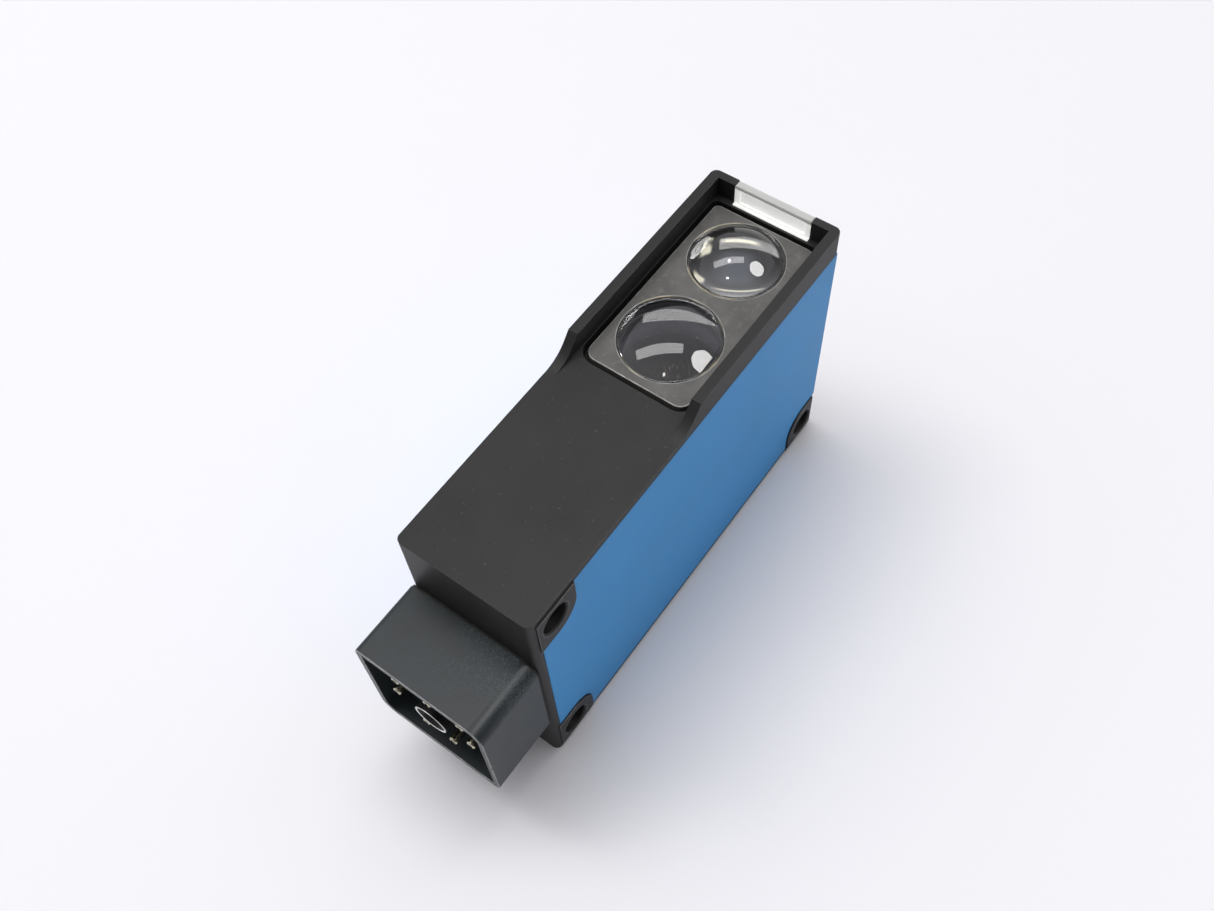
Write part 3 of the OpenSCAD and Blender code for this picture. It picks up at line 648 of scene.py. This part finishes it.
floor.data.materials.append(pale_board())
print(len(bpy.data.materials), "finishes in the file")

# %% [markdown]
# ## Modelling helpers
# An operator works on whatever is selected, and the loaded solids are selected, so
# each step starts by deselecting everything. In edit mode the faces, edges or
# vertices to work on are picked by a test of their place.

# %% Pick what to work on
def open_piece(piece):
    """Go to edit mode with only this piece selected and nothing picked in it."""
    if bpy.context.object and bpy.context.object.mode != "OBJECT":
        bpy.ops.object.mode_set(mode="OBJECT")
    bpy.ops.object.select_all(action="DESELECT")
    piece.select_set(True)
    bpy.context.view_layer.objects.active = piece
    bpy.ops.object.mode_set(mode="EDIT")
    bpy.ops.mesh.select_all(action="DESELECT")


def pick(piece, kind, wanted):
    """Select the faces, edges or vertices for which wanted() is true, and count them."""
    bpy.ops.mesh.select_mode(type=kind)
    bpy.ops.mesh.select_all(action="DESELECT")
    shape = bmesh.from_edit_mesh(piece.data)
    parts = {"VERT": shape.verts, "EDGE": shape.edges, "FACE": shape.faces}[kind]
    found = [part for part in parts if wanted(part)]
    for part in found:
        part.select_set(True)
    shape.select_flush_mode()
    bmesh.update_edit_mesh(piece.data)
    return len(found)


def close_piece(piece, smooth_angle=35):
    """Leave edit mode, with the normals outward and round faces shaded smooth."""
    bpy.ops.mesh.select_all(action="SELECT")
    bpy.ops.mesh.remove_doubles(threshold=0.000001)
    bpy.ops.mesh.normals_make_consistent(inside=False)
    bpy.ops.object.mode_set(mode="OBJECT")
    bpy.ops.object.shade_smooth_by_angle(angle=math.radians(smooth_angle))
    print(f"{piece.name}: {len(piece.data.polygons)} faces")


# %% [markdown]
# The moulded shells are exact solids already. A copy of one is merged, and its
# triangles are joined into flat faces, so that its edges can be rounded. Only a
# corner that juts out and is sharp is rounded, never a hollow one.

# %% Copy a solid and round its edges
SHARP = math.radians(40)


def copy_solid(node, name, finishes):
    """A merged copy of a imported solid, open in edit mode."""
    piece = bpy.data.objects.new(name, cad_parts[node].data.copy())
    bpy.context.scene.collection.objects.link(piece)
    piece.data.materials.clear()
    for finish in finishes:
        piece.data.materials.append(finish)
    open_piece(piece)
    bpy.ops.mesh.customdata_custom_splitnormals_clear()
    bpy.ops.mesh.select_all(action="SELECT")
    bpy.ops.mesh.remove_doubles(threshold=0.0000005)
    bpy.ops.mesh.dissolve_limited(angle_limit=math.radians(0.5))
    return piece


def juts_out(edge):
    """True for a sharp edge between two faces that turn away from each other."""
    return len(edge.link_faces) == 2 and edge.calc_face_angle_signed() > SHARP


def round_edges(piece, width, steps, wanted):
    """Bevel the sharp outer edges for which wanted(first end, second end) is true.

    The new faces take the second finish of the piece.
    """
    count = pick(piece, "EDGE", lambda edge: juts_out(edge) and wanted(*(v.co for v in edge.verts)))
    if count:
        bpy.ops.mesh.bevel(offset=width, segments=steps, profile=0.5, affect="EDGES",
                           clamp_overlap=True, material=1)
    print(f"{piece.name}: {count} edges rounded to {width / MM:.2f} mm")


def even_shading(piece):
    """Let large flat faces decide the shading next to a bevel."""
    weighting = piece.modifiers.new("even shading", "WEIGHTED_NORMAL")
    weighting.keep_sharp = True
    bpy.ops.object.modifier_apply(modifier=weighting.name)


# %% [markdown]
# ## The housing
# One moulding carries everything: a hollow block, the hood round the lenses, three
# screw bosses and two feet. Its long outer edges have a soft radius, while the
# edges of the recess, of the bores and round the covers are only broken. The soft
# edges come first, because a bevel may only be as wide as the faces beside it.

# %% Round the housing
near = 0.02 * MM
foot_z = 0.5 * MM


def on_outline(point):
    """True on the front, back, end and side faces of the block."""
    return (abs(point.y) > side_y - near or point.x < near_x + near or point.x > far_x - near)


def soft_housing_edge(a, b):
    front = min(a.z, b.z) > front_z - near and on_outline(a) and on_outline(b)
    rail_top = min(a.z, b.z) > front_z + 0.8 * MM
    return front or rail_top


def back_edge(a, b):
    return max(a.z, b.z) < foot_z + near and on_outline(a) and on_outline(b)


def recess_edge(a, b):
    inside = max(abs(a.y), abs(b.y)) < side_y - 2 * MM
    return inside and abs(a.z - front_z) < near and abs(b.z - front_z) < near


def boss_edge(a, b):
    return min(abs(a.y), abs(b.y)) > side_y + near


housing = copy_solid("housing", "housing_moulding", [housing_black, housing_edge])
round_edges(housing, 0.35 * MM, 3, soft_housing_edge)
round_edges(housing, 0.2 * MM, 2, back_edge)
round_edges(housing, 0.08 * MM, 1, recess_edge)
round_edges(housing, 0.08 * MM, 2, boss_edge)
close_piece(housing)
even_shading(housing)
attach(housing, "sensor")
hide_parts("housing")

# %% [markdown]
# ## The side covers
# Two blue covers, one the mirror of the other, drop into rebates in the housing.
# Each solid is copied for itself, and only its outer rim is rounded. The rounded rim
# takes a darker blue, a painted shade that draws a fine shadow line round it.

# %% Round the two covers
for side in ("right", "left"):
    cover = copy_solid(f"side_cover_{side}", f"cover_{side}", [cover_blue, cover_blue_shaded_edge])
    round_edges(cover, 0.12 * MM, 2, lambda a, b: min(abs(a.y), abs(b.y)) > side_y - near)
    close_piece(cover)
    even_shading(cover)
    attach(cover, "sensor")
    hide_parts(f"side_cover_{side}")

# %% [markdown]
# ## The plug shroud
# A thin-walled sleeve with two round and two keyed corners. Its outer walls keep
# the solid's shape, and both edges of the mouth are broken, so that the thin rim
# catches a bright line. The broken edges have a much lighter finish, partly because
# the rim is rubbed bare each time that a plug goes on, and partly a painted highlight.

# %% Break the rim of the shroud
def rim_edge(a, b):
    return max(a.x, b.x) < mouth_x + near


shroud = copy_solid("plug_shroud", "plug_sleeve", [shroud_black, shroud_rim])
round_edges(shroud, 0.14 * MM, 2, rim_edge)
close_piece(shroud)
even_shading(shroud)
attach(shroud, "sensor")
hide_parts("plug_shroud")

# %% [markdown]
# ## The contact pins
# A pin is a drawn wire with a rounded, hollow tip. One pin is a cylinder whose tip
# edge is bevelled in steps. What is left of the end face is inset and pushed in,
# and the hollow takes a near-black metal, a painted shade, so that only the shoulder
# shines. The other pins are copies with their own mesh, moved in edit mode so that
# their objects stay at the origin.

# %% Model one contact pin
pin_nodes = sorted(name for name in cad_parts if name.startswith("contact_pin_"))
pin_low, pin_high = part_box(pin_nodes[0])
pin_r = (pin_high.y - pin_low.y) / 2
pin_middle = (pin_low + pin_high) / 2
hollow_depth = 0.4 * MM
tip_round = 0.4     # of the pin's radius
root_round = 0.25   # of the pin's radius

bpy.ops.object.select_all(action="DESELECT")
bpy.ops.mesh.primitive_cylinder_add(vertices=32, radius=pin_r, depth=pin_high.x - pin_low.x,
                                    location=pin_middle, rotation=(0, math.pi / 2, 0))
pin = bpy.context.object
pin.name = "pin_1"
bpy.ops.object.transform_apply(location=True, rotation=True, scale=True)
open_piece(pin)
tips = pick(pin, "EDGE", lambda edge: max(v.co.x for v in edge.verts) < pin_low.x + near)
bpy.ops.mesh.bevel(offset=pin_r * tip_round, segments=5, profile=0.5, affect="EDGES",
                   clamp_overlap=False)
pick(pin, "FACE", lambda face: face.calc_center_median().x < pin_low.x + near
     and face.normal.x < -0.99)
bpy.ops.mesh.inset(thickness=pin_r * 0.06)
bpy.ops.mesh.extrude_region_move(TRANSFORM_OT_translate={"value": (hollow_depth, 0, 0)})
pin.data.materials.append(contact_metal)
pin.data.materials.append(pin_hollow_shade)
pick(pin, "EDGE", lambda edge: juts_out(edge)
     and min(v.co.x for v in edge.verts) > pin_high.x - near)
bpy.ops.mesh.bevel(offset=pin_r * root_round, segments=2, profile=0.5, affect="EDGES",
                   clamp_overlap=False)
# The faces in the hollow take the near-black metal: painted shade.
pick(pin, "FACE", lambda face: face.calc_center_median().x > pin_low.x + near
     and face.calc_center_median().x < pin_low.x + hollow_depth + 0.1 * MM
     and (face.calc_center_median() - pin_middle).yz.length < pin_r * 0.6)
pin.active_material_index = 1
bpy.ops.object.material_slot_assign()
close_piece(pin, smooth_angle=50)
print(f"pin {2 * pin_r / MM:.2f} mm thick, {tips} edges rounded at its tip")

# %% Copy the pin to its seven places
pins = [pin]
for node in pin_nodes[1:]:
    place = sum(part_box(node), Vector()) / 2
    copy = pin.copy()
    copy.data = pin.data.copy()
    copy.name = f"pin_{node[-1]}"
    bpy.context.scene.collection.objects.link(copy)
    open_piece(copy)
    bpy.ops.mesh.select_all(action="SELECT")
    bpy.ops.transform.translate(value=place - pin_middle)
    bpy.ops.object.mode_set(mode="OBJECT")
    pins.append(copy)
for piece, node in zip(pins, pin_nodes):
    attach(piece, "sensor")
    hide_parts(node)
print(len(pins), "pins")

# %% [markdown]
# ## The screw bush
# The bush in the middle of the plug is turned from bar and blackened, and its face
# is turned bright again. Its solid is copied, the edges of its mouth are broken,
# as a turner would with a file, and only the face keeps the bright finish.

# %% Break the edges of the bush
bush_low, bush_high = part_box("screw_bush")
bush = copy_solid("screw_bush", "bush", [bush_black, bush_metal])
round_edges(bush, 0.08 * MM, 2, lambda a, b: max(a.x, b.x) < bush_low.x + 0.2 * MM)
pick(bush, "FACE", lambda face: face.normal.x < -0.9)
bush.active_material_index = 1
bpy.ops.object.material_slot_assign()
close_piece(bush)
even_shading(bush)
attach(bush, "sensor")
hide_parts("screw_bush")

# %% [markdown]
# ## The lens plate
# The plate lies in a groove of its own width. Its outer edge and the rims of its
# two lens holes are rounded a little, and the rounded faces are painted lighter: a
# painted highlight, partly wear.

# %% Round the lens plate
plate = copy_solid("lens_plate", "plate", [plate_grey, plate_edge])
round_edges(plate, 0.16 * MM, 2, lambda a, b: min(a.z, b.z) > front_z - near)
close_piece(plate)
even_shading(plate)
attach(plate, "sensor")
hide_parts("lens_plate")

# %% [markdown]
# ## The lenses
# Each lens is a body of revolution: a narrow barrel below, a disc that fills the
# hole of the plate, a flat rim and a dome. A ball is added at the centre of the
# dome's curve, and all of it below the rim is cut away. The open edge is then
# extruded out to the rim, down the disc, in to the barrel and down to its floor.

# %% Work out a lens
lens_step = 0.6 * MM
rim_width = 0.4 * MM
plate_bottom = plate_low.z


def ball_radius(half_width, rise):
    """The radius of a ball whose cap has this half width and rise."""
    return (half_width ** 2 + rise ** 2) / (2 * rise)


def carry_edge(scale, drop, centre):
    """Extrude the picked edge loop, then scale it about the axis and lower it."""
    bpy.ops.mesh.extrude_edges_move()
    bpy.ops.transform.resize(value=(scale, scale, 1), center_override=centre)
    bpy.ops.transform.translate(value=(0, 0, -drop))


def make_lens(node, name):
    low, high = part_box(node)
    centre = (low + high) / 2
    radius = (high.x - low.x) / 2
    cap = radius - rim_width
    ball = ball_radius(cap, high.z - front_z)
    bpy.ops.object.select_all(action="DESELECT")
    bpy.ops.mesh.primitive_uv_sphere_add(segments=96, ring_count=160, radius=ball,
                                         location=(centre.x, centre.y, high.z - ball))
    lens = bpy.context.object
    lens.name = name
    bpy.ops.object.transform_apply(location=True, rotation=True, scale=True)
    open_piece(lens)
    bpy.ops.mesh.select_all(action="SELECT")
    axis = (centre.x, centre.y, front_z)
    bpy.ops.mesh.bisect(plane_co=axis, plane_no=(0, 0, 1), clear_inner=True)
    pick(lens, "EDGE", lambda edge: edge.is_boundary)
    carry_edge(radius / cap, 0, axis)
    carry_edge(1, front_z - plate_bottom, axis)
    carry_edge((radius - lens_step) / radius, 0, axis)
    carry_edge(1, plate_bottom - low.z, axis)
    bpy.ops.mesh.edge_face_add()
    pick(lens, "EDGE", lambda edge: juts_out(edge)
         and min(v.co.z for v in edge.verts) > front_z - near
         and min((v.co - centre).to_2d().length for v in edge.verts) > radius - near)
    bpy.ops.mesh.bevel(offset=0.08 * MM, segments=2, affect="EDGES", clamp_overlap=False)
    close_piece(lens, smooth_angle=30)
    lens.data.materials.append(lens_clear)
    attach(lens, "sensor")
    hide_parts(node)
    print(f"{name}: {2 * radius / MM:.1f} mm across, dome on a {ball / MM:.2f} mm ball")
    return centre, radius


# %% Make both lenses
emitter_centre, emitter_r = make_lens("emitter_lens", "lens_emitter")
receiver_centre, receiver_r = make_lens("receiver_lens", "lens_receiver")

# %% [markdown]
# ## The glue beads
# The joint round each lens is filled by a thin bead. A ring is added over the
# joint and flattened in edit mode, so that it stands only a little proud.

# %% Lay the glue beads
def lay_bead(centre, radius, name):
    bead_r = 0.1 * MM
    bpy.ops.object.select_all(action="DESELECT")
    bpy.ops.mesh.primitive_torus_add(major_segments=96, minor_segments=10, major_radius=radius,
                                     minor_radius=bead_r, location=(centre.x, centre.y, front_z))
    bead = bpy.context.object
    bead.name = name
    bpy.ops.object.transform_apply(location=True, rotation=True, scale=True)
    open_piece(bead)
    bpy.ops.mesh.select_all(action="SELECT")
    bpy.ops.transform.resize(value=(1, 1, 0.7), center_override=(centre.x, centre.y, front_z))
    close_piece(bead, smooth_angle=60)
    bead.data.materials.append(glue)
    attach(bead, "sensor")


lay_bead(emitter_centre, emitter_r, "glue_emitter")
lay_bead(receiver_centre, receiver_r, "glue_receiver")

# %% [markdown]
# ## The indicator window
# The window wraps over the end of the hood. The solid already has the shallow
# panel in its inner face, so its edges are only softened.

# %% Soften the window
window = copy_solid("indicator_window", "window", [window_white, window_white])
round_edges(window, 0.25 * MM, 3, lambda a, b: min(a.z, b.z) > rail_z - near)
round_edges(window, 0.1 * MM, 2, lambda a, b: max(a.z, b.z) < rail_z - 0.4 * MM)
close_piece(window)
even_shading(window)
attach(window, "sensor")
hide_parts("indicator_window")

# %% [markdown]
# ## The pieces inside
# The other solids already have the right shape, so they stay, and each takes its
# finish from the list below.

# %% Give the inner solids their finishes
inner_finishes = {
    "lens_plate_seal": seal_black,
    "plug_seal": seal_black,
    "pin_insert": insert_black,
    "plug_board": board_green,
    "main_board": board_green,
    "analog_board": board_green,
    "control_chips": chip_black,
    "capacitors": can_metal,
    "board_screws": screw_steel,
    "optics_carrier": carrier_black,
    "emitter_holder": holder_white,
    "emitter_led": led_clear,
    "detector_carriage": carriage_grey,
    "receiver_diode": diode_dark,
    "guide_rods": rod_steel,
    "range_spindle": spindle_brass,
    "spindle_oring": oring_black,
    "spindle_retainer": screw_steel,
    "mode_switch": spindle_brass,
    "mode_oring": oring_black,
    "mode_switch_body": switch_white,
    "indicator_led_green": lamp_green,
    "indicator_led_yellow": lamp_yellow,
}
for node, finish in inner_finishes.items():
    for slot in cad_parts[node].material_slots:
        slot.material = finish
print(len(inner_finishes), "inner solids finished")
